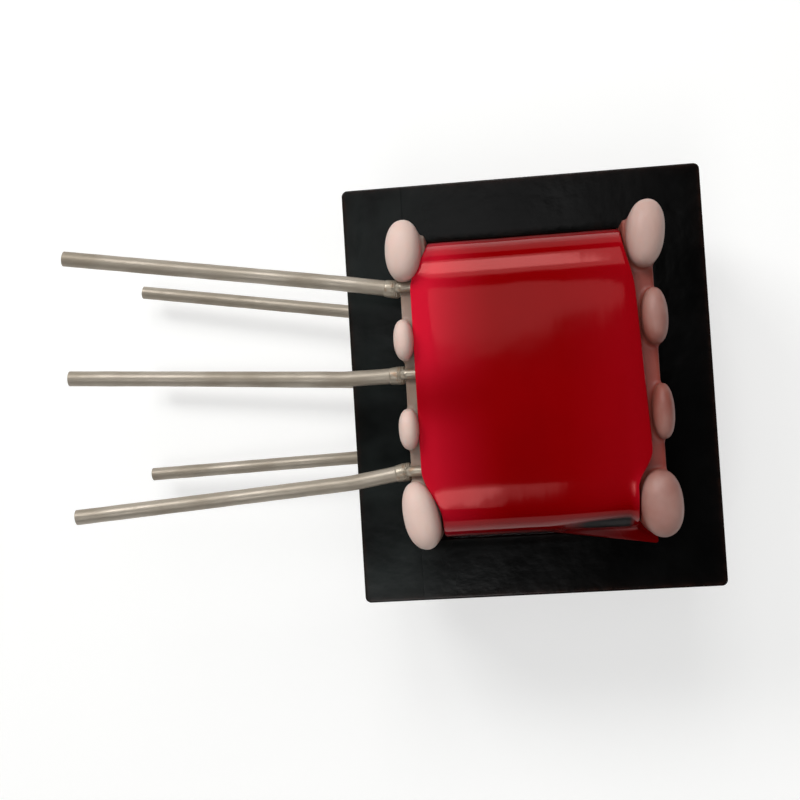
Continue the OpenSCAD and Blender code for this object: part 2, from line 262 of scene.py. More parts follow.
@dataclass(frozen=True)
class PolyesterTape:
    """Polyester film tape, wound on under tension.

    It is a clear, deep colour with a glossy face that mirrors in its own colour, because its
    dye lies right under the film. It is painted brighter where pale plastic lies under it than
    where copper does: partly the film over pale plastic, and partly painted light, much more at
    the board's end, where the light falls. Faint tension lines run along the winding, and
    painted shade darkens its fold and its flanks by the core and dulls their mirror.
    """

    name: str = "red_polyester_tape"
    over_copper: str = "#900004"
    deep: str = "#870003"
    lit_over_plastic: str = "#e01a34"
    painted_shade: str = "#0a0304"
    mirror: str = "#ff9b98"
    shaded_mirror: str = "#1a1010"
    roughness: tuple[float, float] = (0.08, 0.4)
    cloud: float = 3.2
    line: float = 0.5
    slack: float = 1.3

    def material(self) -> bpy.types.Material:
        """Makes the material.

        Returns:
            The tape's material.
        """
        material, add = blank_material(self.name)
        place = add("TexCoord").outputs["Object"]
        wound = add("Mapping", {0: place, "Scale": (1.0, 1 / 9, 1 / 9)})
        cloud = add("TexNoise", {0: place, "Scale": per_mm(self.cloud), "Detail": 3.0})
        lines = add("TexNoise", {0: wound, "Scale": per_mm(self.line), "Detail": 3.0})
        slack = add("TexNoise", {0: place, "Scale": per_mm(self.slack), "Detail": 1.0})
        uneven = add("MapRange", {0: cloud, **NOISE_RANGE, 3: 0.0, 4: 1.0})
        backing_light_and_shade = add("Attribute", attribute_name="backing_light_and_shade").outputs["Fac"]
        run = add("Math", {0: backing_light_and_shade, 1: -1.0}, operation="MULTIPLY")
        tints = {0: uneven, 6: linear(self.over_copper), 7: linear(self.deep)}
        body = add("Mix", tints, data_type="RGBA")
        # Brighter over pale plastic: partly the film over it, partly painted light at the board's end.
        body = add("Mix", {0: backing_light_and_shade, 6: body, 7: linear(self.lit_over_plastic)}, data_type="RGBA")
        # Below 0 the mark is painted shade: a dark colour, rougher, with its mirror dulled.
        colour = add("Mix", {0: run, 6: body, 7: linear(self.painted_shade)}, data_type="RGBA")
        low, high = self.roughness
        gloss = add("MapRange", {0: run, 1: 0.0, 2: 0.6, 3: low, 4: high})
        tint = add("Mix", {0: run, 6: linear(self.mirror), 7: linear(self.shaded_mirror)}, data_type="RGBA")
        dents = add("Bump", {"Height": slack, "Distance": 0.006 * MM})
        drawn = add("Bump", {"Height": lines, "Distance": 0.003 * MM, "Normal": dents})
        shader = add("BsdfPrincipled", {
            "Base Color": colour,
            "Roughness": gloss,
            "IOR": 1.5,
            "Specular Tint": tint,
            "Normal": drawn,
        })
        add("OutputMaterial", {"Surface": shader})
        return material


@dataclass(frozen=True)
class TinnedWire:
    """Copper-clad steel wire, drawn and hot-dip tinned.

    It is a warm, dull silver with fine drawing lines along it and soft cloudy tin, and a film of
    oxide that scatters light and hides most of the mirror.
    """

    bright: str = "#b5ab9d"
    dull: str = "#9f9484"
    tin: float = 0.5
    roughness: tuple[float, float] = (0.4, 0.55)
    cloud: float = 0.7
    line: float = 0.05

    def material(self) -> bpy.types.Material:
        """Makes the material.

        Returns:
            The tinned wire's material.
        """
        material, add = blank_material("tinned_wire")
        place = add("TexCoord").outputs["Object"]
        pulled = add("Mapping", {0: place, "Scale": (0.4, 1.0, 1.0)})
        drawn = add("Mapping", {0: place, "Scale": (1 / 30, 1.0, 1.0)})
        cloud = add("TexNoise", {0: pulled, "Scale": per_mm(self.cloud), "Detail": 4.0})
        lines = add("TexNoise", {0: drawn, "Scale": per_mm(self.line), "Detail": 2.0})
        share = add("MapRange", {0: cloud, **NOISE_RANGE, 3: 0.0, 4: 1.0})
        colour = add("Mix", {0: share, 6: linear(self.bright), 7: linear(self.dull)}, data_type="RGBA")
        low, high = self.roughness
        satin = add("MapRange", {0: cloud, **NOISE_RANGE, 3: low, 4: high})
        ripples = add("Bump", {"Height": cloud, "Distance": 0.008 * MM})
        marks = add("Bump", {"Height": lines, "Distance": 0.002 * MM, "Normal": ripples})
        shader = add("BsdfPrincipled", {
            "Base Color": colour,
            "Metallic": self.tin,
            "Roughness": satin,
            "Normal": marks,
        })
        add("OutputMaterial", {"Surface": shader})
        return material


@dataclass(frozen=True)
class SolderedCopper:
    """Fine copper wire, wrapped and wetted with tin solder.

    It is a soft grey-silver with a little warm copper still showing where the solder is thin.
    """

    solder: str = "#aca292"
    copper: str = "#a98468"
    roughness: tuple[float, float] = (0.34, 0.5)
    patch: float = 0.22

    def material(self) -> bpy.types.Material:
        """Makes the material.

        Returns:
            The soldered wire's material.
        """
        material, add = blank_material("soldered_copper_wire")
        place = add("TexCoord").outputs["Object"]
        patch = add("TexNoise", {0: place, "Scale": per_mm(self.patch), "Detail": 2.0})
        bare = add("MapRange", {0: patch, 1: 0.52, 2: 0.68, 3: 0.0, 4: 0.6})
        colour = add("Mix", {0: bare, 6: linear(self.solder), 7: linear(self.copper)}, data_type="RGBA")
        low, high = self.roughness
        satin = add("MapRange", {0: patch, **NOISE_RANGE, 3: low, 4: high})
        lumps = add("Bump", {"Height": patch, "Distance": 0.01 * MM})
        shader = add("BsdfPrincipled", {
            "Base Color": colour,
            "Metallic": 0.6,
            "Roughness": satin,
            "Normal": lumps,
        })
        add("OutputMaterial", {"Surface": shader})
        return material


@dataclass(frozen=True)
class EnamelledCopper:
    """Soft copper wire under clear polyurethane enamel, wound in close layers.

    It is a glossy orange-brown, ridged by its turns. The wire is 0.07 mm, drawn here at 0.12 mm
    so that the turns show.
    """

    copper: str = "#b5652c"
    shade: str = "#8a4519"
    turn: float = 0.12

    def material(self) -> bpy.types.Material:
        """Makes the material. A wave texture has a band every 20th of its scale.

        Returns:
            The winding's material.
        """
        material, add = blank_material("enamelled_copper_winding")
        place = add("TexCoord").outputs["Object"]
        turns = add("TexWave", {
            0: place, "Scale": per_mm(self.turn) / 20, "Distortion": 0.4, "Detail": 1.0,
        }, wave_profile="SIN").outputs["Fac"]
        between = add("MapRange", {0: turns, 1: 0.0, 2: 0.6, 3: 1.0, 4: 0.0})
        tints = {0: between, 6: linear(self.copper), 7: linear(self.shade)}
        colour = add("Mix", tints, data_type="RGBA")
        ridges = add("Bump", {"Height": turns, "Distance": 0.03 * MM})
        shader = add("BsdfPrincipled", {
            "Base Color": colour,
            "Metallic": 0.8,
            "Roughness": 0.3,
            "Coat Weight": 0.5,
            "Normal": ridges,
        })
        add("OutputMaterial", {"Surface": shader})
        return material


# ---- Curves and gridded surfaces ----


def hump(values: np.ndarray, middle: float, width: Any) -> np.ndarray:
    """A smooth hump of height 1: exp(-((v - middle) / width)^2)."""
    return np.exp(-((values - middle) / width) ** 2)


def signed_power(values: np.ndarray, power: float) -> np.ndarray:
    """Raises the size of each number to a power and keeps its sign."""
    return np.sign(values) * np.abs(values) ** power


def distances(path: np.ndarray) -> np.ndarray:
    """How far along a path each of its points lies."""
    return np.concatenate([[0], np.cumsum(np.linalg.norm(np.diff(path, axis=0), axis=1))])


def read_at(at: np.ndarray, steps: np.ndarray, path: np.ndarray) -> np.ndarray:
    """Reads a path of points at given distances along it."""
    return np.stack([np.interp(at, steps, values) for values in path.T], axis=-1)


def grid_outline(grid: np.ndarray) -> np.ndarray:
    """The points round the edge of a grid, once round from its first corner."""
    return np.concatenate([grid[:-1, 0], grid[-1, :-1], grid[:0:-1, -1], grid[0, :0:-1]])


@dataclass
class Shell:
    """Gathers gridded surfaces, in millimetres, and makes them one object, in metres."""

    points: list = field(default_factory=list)
    quads: list = field(default_factory=list)
    marks: list = field(default_factory=list)
    count: int = 0

    def add(
        self,
        grid: np.ndarray,
        wrap_rows: bool = False,
        wrap_columns: bool = False,
        keep: Optional[np.ndarray] = None,
        mark: Any = 0.0,
    ) -> None:
        """Adds the quads of a grid of points.

        Args:
            grid: Points, as rows by columns by 3.
            wrap_rows: Joins the last row to the first.
            wrap_columns: Joins the last column to the first.
            keep: Which quads to keep, as rows by columns.
            mark: A number for each point, kept as an attribute of the mesh.
        """
        rows, columns = grid.shape[:2]
        index = np.arange(rows * columns).reshape(rows, columns)
        if wrap_rows:
            index = np.vstack([index, index[:1]])
        if wrap_columns:
            index = np.hstack([index, index[:, :1]])
        quads = np.stack([index[:-1, :-1], index[1:, :-1], index[1:, 1:], index[:-1, 1:]], axis=-1)
        quads = quads.reshape(-1, 4) if keep is None else quads[keep]
        self.points.append(grid.reshape(-1, 3))
        self.quads.append(quads + self.count)
        self.marks.append(np.broadcast_to(mark, (rows, columns)).ravel())
        self.count += rows * columns

    def piece(
        self, name: str, attribute: str = "", weld: float = 0.002, sharp: float = 180,
    ) -> bpy.types.Object:
        """Makes the object, with its doubled points welded and its faces turned outwards.

        Args:
            name: The object's name.
            attribute: The name under which the marks are kept, if any.
            weld: How near two points are to be one, in millimetres.
            sharp: Edges that turn more than this angle, in degrees, stay sharp.

        Returns:
            The object, linked to the scene.
        """
        mesh = bpy.data.meshes.new(name)
        mesh.from_pydata(np.concatenate(self.points) * MM, [], np.concatenate(self.quads))
        if attribute:
            layer = mesh.attributes.new(attribute, "FLOAT", "POINT")
            layer.data.foreach_set("value", np.concatenate(self.marks).astype(np.float32))
        solid = bmesh.new()
        solid.from_mesh(mesh)
        bmesh.ops.remove_doubles(solid, verts=solid.verts, dist=weld * MM)
        bmesh.ops.recalc_face_normals(solid, faces=solid.faces)
        solid.to_mesh(mesh)
        solid.free()
        mesh.shade_smooth()
        if sharp < 180:
            mesh.set_sharp_from_angle(angle=radians(sharp))
        piece = bpy.data.objects.new(name, mesh)
        bpy.context.scene.collection.objects.link(piece)
        return piece


def dress(
    piece: bpy.types.Object, material: bpy.types.Material, slot: str, *nodes: str,
) -> bpy.types.Object:
    """Gives a piece its finish and its place in the model.

    Args:
        piece: The object.
        material: Its finish.
        slot: The name of a material slot; not used.
        *nodes: The solids that it stands for.

    Returns:
        The same object.
    """
    piece.data.materials.clear()
    piece.data.materials.append(material)
    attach(piece, "root")
    if nodes:
        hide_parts(*nodes)
    faces = len(piece.data.polygons)
    log.info("%s: %d faces, stands for %s", piece.name, faces, ", ".join(nodes) or "nothing")
    return piece


def dress_solid(name: str, material: bpy.types.Material) -> None:
    """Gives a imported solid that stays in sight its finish.

    Args:
        name: The node's name.
        material: Its finish.
    """
    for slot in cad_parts[name].material_slots:
        slot.material = material
    log.info("%s: the packed solid, in %s", name, material.name)


def along(values: Sequence[float], step: float) -> np.ndarray:
    """Numbers from each value to the next, spaced evenly by about a step.

    Args:
        values: The numbers to pass through, rising.
        step: The largest spacing.

    Returns:
        The numbers, with every value among them.
    """
    counts = [max(2, int(np.ceil((b - a) / step)) + 1) for a, b in zip(values, values[1:])]
    stretches = [np.linspace(a, b, count) for a, b, count in zip(values, values[1:], counts)]
    return np.unique(np.round(np.concatenate(stretches), 5))


def eased_path(corners: np.ndarray, ease: float, step: float) -> np.ndarray:
    """A path through corners with its bends eased.

    The corners are joined by straight lines, and each point is then the mean of the line over
    a stretch of length ease round it; the ends stay where they are.

    Args:
        corners: The corner points, as n by 3.
        ease: The length over which a bend is eased.
        step: The spacing of the path's points.

    Returns:
        The path's points, as m by 3.
    """
    steps = distances(corners)
    s = np.linspace(0, steps[-1], int(steps[-1] / step) + 2)
    reach = np.minimum(ease, 2 * np.minimum(s, steps[-1] - s))
    at = s[:, None] + reach[:, None] * np.linspace(-0.5, 0.5, 9)
    return read_at(at, steps, corners).mean(axis=1)


def frames(path: np.ndarray) -> tuple[np.ndarray, np.ndarray, np.ndarray]:
    """The tangent, and two directions across it, at each point of a path.

    The first direction across is the one nearest to up, and the second is level.

    Args:
        path: The path's points, as m by 3.

    Returns:
        The tangents, the upward directions and the level directions, each m by 3.
    """
    tangent = np.gradient(path, axis=0)
    tangent /= np.linalg.norm(tangent, axis=1, keepdims=True)
    level = np.cross(tangent, [0.0, 0.0, 1.0])
    level /= np.linalg.norm(level, axis=1, keepdims=True)
    return tangent, np.cross(level, tangent), level


def swept_tube(path: np.ndarray, radii: np.ndarray, sides: int) -> np.ndarray:
    """A round section carried along a path.

    P(s, a) = path(s) + r(s) * (cos a * up(s) + sin a * level(s)). A radius of 0 closes an end.

    Args:
        path: The path's points, as m by 3.
        radii: The radius at each point, m numbers, or m by sides.
        sides: How many points the section has.

    Returns:
        The grid of points, m by sides by 3.
    """
    _, up, level = frames(path)
    a = np.linspace(0, 2 * np.pi, sides, endpoint=False)
    ring = np.cos(a)[None, :, None] * up[:, None] + np.sin(a)[None, :, None] * level[:, None]
    radii = radii[:, None] if radii.ndim == 1 else radii
    return path[:, None] + radii[..., None] * ring


def closed_ends(grid: np.ndarray) -> np.ndarray:
    """Adds a row at each end of a tube, all of whose points are the middle of that end.

    Args:
        grid: The tube's points, m by sides by 3.

    Returns:
        The grid with its two closing rows.
    """
    caps = [np.broadcast_to(row.mean(axis=0), row.shape)[None] for row in (grid[0], grid[-1])]
    return np.concatenate([caps[0], grid, caps[1]])


# ---- Core ----


@dataclass
class LacqueredCore:
    """The stack of E and I laminations, under one coat of lacquer.

    Each sheet stands a little in or out of line, and the lacquer leaves a shallow groove between
    two sheets and where an E meets its I.
    """

    length: float = 12.0
    width: float = 14.0
    yoke: float = 2.0
    limb: float = 4.0
    window: float = 3.0
    sheet: float = 0.35
    sheets: int = 14
    corner: float = 0.2
    rim: float = 0.05
    groove: float = 0.022
    joint: float = 0.014
    lap: float = 0.01
    waver: float = 0.014
    cell: float = 0.3
    seed: int = 5

    @property
    def top(self) -> float:
        """Height of the front face."""
        return self.sheet * self.sheets / 2

    @property
    def front_joint(self) -> float:
        """X of the joint that shows on the front face, at the board's end."""
        return self.yoke - self.lap

    @property
    def back_joint(self) -> float:
        """X of the joint that shows on the back face, at the far end."""
        return self.length - self.yoke + self.lap

    def face_lines(self) -> tuple[np.ndarray, np.ndarray]:
        """The grid lines of a face, with some on each window's edge, each joint and each corner.

        Returns:
            The lines' X and Y.
        """
        x_window = self.yoke - self.rim
        y_inner, y_outer = self.limb / 2 - self.rim, self.limb / 2 + self.window + self.rim
        near = [self.rim, self.corner, x_window, self.yoke + 0.06]
        xs = along(near + [self.length - x for x in near[::-1]], self.cell)
        half = self.width / 2
        ups = [0.0, y_inner, y_outer, half - self.corner, half - self.rim]
        ys = along([-y for y in ups[:0:-1]] + ups, self.cell)
        turn = np.linspace(self.rim, self.corner, 5)
        extra = np.concatenate([turn, self.front_joint + np.array([-0.02, 0.0, 0.02, 0.04])])
        xs = np.unique(np.round(np.concatenate([xs, extra, self.length - extra]), 5))
        ys = np.unique(np.round(np.concatenate([ys, half - turn, turn - half]), 5))
        return xs, ys

    def rounded(self, x: np.ndarray, y: np.ndarray) -> tuple[np.ndarray, np.ndarray]:
        """Draws the corners of a square grid in to a round corner.

        In each corner's cell, s and t from 0 to 1 become s * sqrt(1 - t * t / 2) and
        t * sqrt(1 - s * s / 2), which turns the square into a quarter of a disc.

        Args:
            x: The grid's X.
            y: The grid's Y.

        Returns:
            The new X and Y.
        """
        r = self.corner - self.rim
        dx, dy = x - self.length / 2, y
        s = np.maximum(np.abs(dx) - (self.length / 2 - self.corner), 0) / r
        t = np.maximum(np.abs(dy) - (self.width / 2 - self.corner), 0) / r
        new_s, new_t = s * np.sqrt(1 - t * t / 2), t * np.sqrt(1 - s * s / 2)
        return x + np.sign(dx) * (new_s - s) * r, y + np.sign(dy) * (new_t - t) * r

    def wall_heights(self) -> np.ndarray:
        """Heights down a wall below its rounded rim, closer together round each groove.

        Returns:
            The heights, from the front face's rim to the back's.
        """
        low, high = -self.top + self.rim, self.top - self.rim
        seams = -self.top + self.sheet * np.arange(1, self.sheets)
        near = (seams[:, None] + np.array([-0.09, -0.045, -0.02, 0, 0.02, 0.045, 0.09])).ravel()
        return np.sort(np.concatenate([near, [low, high]]))[::-1]

    def groove_depth(self, z: np.ndarray) -> np.ndarray:
        """Depth of the grooves: groove * exp(-(d / 0.03)^2), d being the distance to a seam.

        Args:
            z: Heights on a wall.

        Returns:
            The depth at each height.
        """
        seam = np.round((z + self.top) / self.sheet)
        inside = (seam > 0) & (seam < self.sheets)
        distance = z + self.top - seam * self.sheet
        return np.where(inside, self.groove * hump(distance, 0, 0.03), 0)

    def wall(self, ring: np.ndarray, outward: np.ndarray, wavers: np.ndarray) -> np.ndarray:
        """Carries the edge of the stack round an outline of the face.

        The edge leaves the face in a quarter circle of radius rim, and runs down through the
        grooves to the other face. Sheet i, counted from 0 at the back, stands out by wavers[i],
        and its joint lies at the far end in even sheets and at the board's in odd ones.

        Args:
            ring: The outline's points at the face, n by 2.
            outward: The direction away from the steel at each point, n by 2.
            wavers: How far each sheet stands out, sheets by n.

        Returns:
            The wall's grid, rows by n by 3.
        """
        z = self.wall_heights()
        turn = np.linspace(0, np.pi / 2, 5)[:-1]
        sheet = np.clip(((z + self.top) / self.sheet).astype(int), 0, self.sheets - 1)
        joint_x = np.where(sheet % 2 == 1, self.front_joint, self.back_joint)
        tick = self.joint * hump(ring[None, :, 0], joint_x[:, None], 0.025)
        cuts = self.groove_depth(z)[:, None] + tick * np.abs(outward[None, :, 1])
        out = self.rim - cuts + wavers[sheet]
        arc, share = self.rim * np.sin(turn)[:, None], (turn / turn[-1])[:, None]
        above, below = arc + wavers[-1] * share, (arc + wavers[0] * share)[::-1]
        offsets = np.concatenate([above, out, below])
        drop = self.rim * (1 - np.cos(turn))
        heights = np.concatenate([self.top - drop, z, drop[::-1] - self.top])
        plan = ring[None] + outward[None] * offsets[..., None]
        level = np.broadcast_to(heights[:, None, None], offsets.shape + (1,))
        grid = np.concatenate([plan, level], axis=-1)
        grid[0, :, 2] = self.face_height(ring[:, 0], self.front_joint)
        grid[-1, :, 2] = -self.face_height(ring[:, 0], self.back_joint)
        return grid

    def face_height(self, x: np.ndarray, joint_x: float) -> np.ndarray:
        """Height of a face, with a faint line where its E meets its I."""
        return self.top - 0.003 * hump(x, joint_x, 0.02)

    def build(self, material: bpy.types.Material) -> bpy.types.Object:
        """Builds the stack as one closed surface.

        Args:
            material: The lacquer.

        Returns:
            The core's object.
        """
        rng = np.random.default_rng(self.seed)
        xs, ys = self.face_lines()
        flat_x, flat_y = np.meshgrid(xs, ys, indexing="ij")
        x, y = self.rounded(flat_x, flat_y)
        mid_x, mid_y = (xs[1:] + xs[:-1]) / 2, (ys[1:] + ys[:-1]) / 2
        low_x, high_x = self.yoke - self.rim, self.length - self.yoke + self.rim
        low_y, high_y = self.limb / 2 - self.rim, self.limb / 2 + self.window + self.rim
        in_x = (mid_x > low_x) & (mid_x < high_x)
        in_y = (np.abs(mid_y) > low_y) & (np.abs(mid_y) < high_y)
        steel = ~(in_x[:, None] & in_y[None, :])
        to_edge = np.minimum(np.minimum(x, self.length - x), self.width / 2 - np.abs(y))
        rim = np.exp(-to_edge / 0.06)
        shell = Shell()
        front_z = self.face_height(x, self.front_joint)
        back_z = -self.face_height(x, self.back_joint)
        shell.add(np.stack([x, y, front_z], axis=-1), keep=steel, mark=rim)
        shell.add(np.stack([x, y, back_z], axis=-1), keep=steel, mark=rim)

        # The outer wall: each of its four sides has a place of its own for each sheet.
        plan = np.stack([x, y], axis=-1)
        ring = grid_outline(plan)
        middle = np.array([self.length / 2, 0])
        reach = np.array([self.length, self.width]) / 2 - self.corner
        outward = ring - middle - np.clip(ring - middle, -reach, reach)
        outward /= np.linalg.norm(outward, axis=1, keepdims=True)
        ends = rng.uniform(-self.waver, self.waver, (self.sheets, 4))
        along_x, along_y = outward.T
        shares = np.maximum(np.stack([along_x, -along_x, along_y, -along_y]), 0)
        wall = self.wall(ring, outward, ends @ shares)
        depth = self.groove_depth(wall[..., 2]) / self.groove
        shell.add(wall, wrap_columns=True, mark=0.25 + 0.6 * depth)

        # The windows' walls, whose inward sides meet in square corners.
        slack = 1e-4
        columns = np.flatnonzero((xs > low_x - slack) & (xs < high_x + slack))
        for side in (1, -1):
            rows = np.flatnonzero((side * ys > low_y - slack) & (side * ys < high_y + slack))
            hole = plan[np.ix_(columns, rows)]
            ring = grid_outline(hole)
            centre = (hole[0, 0] + hole[-1, -1]) / 2
            reach = np.abs(hole[-1, -1] - centre)
            inward = -np.sign(ring - centre) * (np.abs(ring - centre) > reach - slack)
            wall = self.wall(ring, inward, np.zeros((self.sheets, len(ring))))
            shell.add(wall, wrap_columns=True, mark=0.1)
        piece = shell.piece("lacquered_core", "rim", weld=0.0008, sharp=50)
        sheets = [f"{kind}_lamination_{i:02d}" for kind in "ei" for i in range(1, self.sheets + 1)]
        return dress(piece, material, "lacquered_silicon_steel", *sheets)


# ---- Bobbin ----


@dataclass(frozen=True)
class Tab:
    """A rounded tab on a flange, measured from the bobbin's middle.

    Its half length is one number away from the bobbin's middle and another towards it, and it
    leans by a share of its length towards the far end or the board's.
    """

    y: float
    out_x: float
    half_x: float
    outer: float
    inner: float
    tip: float
    dome: float
    square: float
    lean: float


@dataclass
class MouldedBobbin:
    """The moulding: two flanges with soft lobes and ears, joined by a square tube."""

    middle_x: float = 6.0
    middle_y: float = 0.15
    web_in: float = 3.15
    web_out: float = 3.85
    ledge_out: float = 4.03
    half_width: float = 4.8
    limb_hole: tuple[float, float] = (2.15, 2.6)
    wall: float = 0.35
    ledge_bottom: float = 2.5
    valley: float = 4.35
    voxel: float = 0.06
    soften: int = 4

    def tabs(self, end: End) -> tuple[Tab, ...]:
        """The lobes and ears of one face of a flange, from +Y to -Y.

        The ears are as the mould left them: egg shaped, and not all alike.

        Args:
            end: The end of the bobbin.

        Returns:
            Its four tabs.
        """
        ear = {"outer": 0.96, "tip": 5.42, "dome": 0.6, "square": 2.2}
        lobe = {"tip": 5.3, "dome": 0.5, "square": 2.2}
        if end is End.BOARD:
            return (
                Tab(y=4.3, out_x=4.4, half_x=0.57, inner=1.0, lean=-0.04, **ear),
                Tab(y=1.425, out_x=4.3, half_x=0.32, outer=0.66, inner=0.66, lean=0.0, **lobe),
                Tab(y=-1.425, out_x=4.3, half_x=0.32, outer=0.66, inner=0.66, lean=0.0, **lobe),
                Tab(y=-4.3, out_x=4.31, half_x=0.56, inner=1.2, lean=0.14, **ear),
            )
        return (
            Tab(y=4.36, out_x=4.42, half_x=0.59, inner=1.15, lean=0.08, **ear),
            Tab(y=1.6, out_x=4.34, half_x=0.4, outer=0.95, inner=0.86, lean=0.0, **lobe),
            Tab(y=-1.36, out_x=4.34, half_x=0.33, outer=0.86, inner=0.9, lean=0.0, **lobe),
            Tab(y=-4.3, out_x=4.42, half_x=0.64, inner=1.15, lean=0.0, **ear),
        )

    def knob(self, tab: Tab) -> np.ndarray:
        """A rounded tab that stands on the ledge.

        Its plan is a squared ellipse, (half_x * c, length * s) with c and s the cosine and sine
        raised to 2 / square, with its own length each way, and sheared by its lean. It is
        carried straight up, and then closed over a dome: scale = cos(w)^0.8 and
        z = tip - dome * (1 - sin(w)), for w from 0 to 90 degrees.

        Args:
            tab: The tab's sizes.

        Returns:
            The grid, rows by columns by 3, closed at both ends.
        """
        a = np.linspace(0, 2 * np.pi, 64, endpoint=False)
        away = np.sign(np.sin(a)) * np.sign(tab.y)
        plan_x = tab.half_x * signed_power(np.cos(a), 2 / tab.square)
        plan_y = np.where(away > 0, tab.outer, tab.inner) * signed_power(np.sin(a), 2 / tab.square)
        w = np.linspace(0, np.pi / 2, 16)
        scale = np.concatenate([[0.001, 1], np.maximum(np.cos(w), 1e-9) ** 0.8])
        z = np.concatenate([[self.ledge_bottom] * 2, tab.tip - tab.dome * (1 - np.sin(w))])
        x = tab.out_x - tab.half_x + scale[:, None] * (plan_x + tab.lean * plan_y)
        y = tab.y + scale[:, None] * plan_y
        return np.stack([x, y, np.broadcast_to(z[:, None], x.shape)], axis=-1)

    def block(self, low: Sequence[float], high: Sequence[float]) -> np.ndarray:
        """A plain block, as a ring of four corners carried up.

        Args:
            low: Its lowest corner.
            high: Its highest corner.

        Returns:
            The grid, closed at both ends.
        """
        (x0, y0, z0), (x1, y1, z1) = low, high
        ring = np.array([(x0, y0), (x1, y0), (x1, y1), (x0, y1)])
        rows = [np.column_stack([ring, np.full(4, z)]) for z in (z0, z1)]
        return closed_ends(np.array(rows))

    def frame_ring(self) -> np.ndarray:
        """The web of a flange round the limb: a rectangular section carried round its hole.

        Returns:
            The grid, four rows by columns by 3, to be joined along both.
        """
        corners = np.array([(-1, -1), (1, -1), (1, 1), (-1, 1)])
        inner = corners * np.array(self.limb_hole)
        outer = corners * np.array([self.half_width, self.ledge_bottom + 0.3])
        return self.carried((self.web_in, self.web_out), inner, outer)

    def carried(self, ends: tuple[float, float], inner: np.ndarray, outer: np.ndarray) -> np.ndarray:
        """A wall between two outlines, carried along X.

        Args:
            ends: X of its two ends.
            inner: Its inner outline, n by 2.
            outer: Its outer outline, n by 2.

        Returns:
            The grid, four rows by n by 3, to be joined along both.
        """
        rows = [(ends[0], inner), (ends[0], outer), (ends[1], outer), (ends[1], inner)]
        return np.array([np.column_stack([np.full(len(ring), x), ring]) for x, ring in rows])

    def placed(self, grid: np.ndarray, end: End, flip: int = 1) -> np.ndarray:
        """Puts a shape drawn at the far end's front face where it belongs.

        Args:
            grid: The shape's points, from the bobbin's middle.
            end: The end of the bobbin.
            flip: 1 for the front face and -1 for the back.

        Returns:
            The points in the object's frame.
        """
        return grid * [end.value, 1, flip] + [self.middle_x, self.middle_y, 0]

    def flange(self, end: End) -> bpy.types.Object:
        """Builds one flange: its blocks and tabs are fused, and their meetings softened.

        Args:
            end: The end of the bobbin.

        Returns:
            The flange's object.
        """
        shell = Shell()
        shell.add(self.placed(self.frame_ring(), end), wrap_rows=True, wrap_columns=True)
        for face in Face:
            ledge = self.block(
                (self.web_in, -self.half_width, self.ledge_bottom),
                (self.ledge_out, self.half_width, self.valley),
            )
            shell.add(self.placed(ledge, end, face.value), wrap_columns=True)
            for tab in self.tabs(end):
                shell.add(self.placed(self.knob(tab), end, face.value), wrap_columns=True)
        piece = shell.piece(f"flange_{end.name.lower()}")
        fuse = piece.modifiers.new("fuse", "REMESH")
        fuse.mode, fuse.voxel_size, fuse.use_smooth_shade = "VOXEL", self.voxel * MM, True
        soften = piece.modifiers.new("soften", "SMOOTH")
        soften.factor, soften.iterations = 0.5, self.soften
        bpy.context.view_layer.update()
        depsgraph = bpy.context.evaluated_depsgraph_get()
        fused = bpy.data.meshes.new_from_object(piece.evaluated_get(depsgraph))
        piece.modifiers.clear()
        piece.data = fused
        self.bounce_and_shade(piece, end)
        return piece

    def bounce_and_shade(self, piece: bpy.types.Object, end: End) -> None:
        """Marks where painted shade and red light bounced from the tape darken the plastic.

        The far end is painted darker and redder, least of all on its ear at +Y, and on its valley
        floors more than its tabs: shade = base + 0.9 * exp(-(height above the valley / 0.2)). The
        board's end is painted darker on its valley floors, which fades in the same way.

        Args:
            piece: The flange.
            end: The end of the bobbin.
        """
        points = np.zeros(len(piece.data.vertices) * 3)
        piece.data.vertices.foreach_get("co", points)
        points = points.reshape(-1, 3) / MM
        above = np.maximum(np.abs(points[:, 2]) - self.valley, 0)
        y = points[:, 1] - self.middle_y
        # Painted shade and red bounce light on the far flange: less on its ears, most in its valleys.
        ear = np.clip((np.abs(y) - 2.6) / 0.8, 0, 1)
        low = np.exp(-above / 0.2)
        far = 1.0 if end is End.FAR else 0.0
        bounce_and_shade_share = 0.9 - ear * (0.32 + 0.2 * np.sign(y)) + 0.9 * low
        # Painted shade on the board flange's valley floors, fading up from them.
        marks = {"bounce_and_shade": far * bounce_and_shade_share, "valley_shade": 0.85 * (1 - far) * low}
        for name, mark in marks.items():
            layer = piece.data.attributes.new(name, "FLOAT", "POINT")
            layer.data.foreach_set("value", mark.astype(np.float32))

    def tube(self) -> bpy.types.Object:
        """Builds the square tube between the flanges: its wall's section carried round the limb.

        Returns:
            The tube's object.
        """
        a = np.linspace(0, 2 * np.pi, 96, endpoint=False)
        inner = self.ring_outline(a, *self.limb_hole, 0.05)
        half_y, half_z = np.array(self.limb_hole) + self.wall
        outer = self.ring_outline(a, half_y, half_z, 0.3)
        grid = self.carried((-self.web_in, self.web_in), inner, outer)
        shell = Shell()
        shell.add(grid + [self.middle_x, self.middle_y, 0], wrap_rows=True, wrap_columns=True)
        return shell.piece("bobbin_tube", sharp=40)

    def ring_outline(self, a: np.ndarray, half_y: float, half_z: float, r: float) -> np.ndarray:
        """A rectangle with round corners: a clipped square direction plus a circle of radius r.

        Args:
            a: The angles.
            half_y: Its half size along Y.
            half_z: Its half size along Z.
            r: The radius of its corners.

        Returns:
            The points, n by 2.
        """
        direction = np.column_stack([np.cos(a), np.sin(a)])
        square = np.clip(direction * 2.0, -1, 1) * [half_y - r, half_z - r]
        return square + r * direction

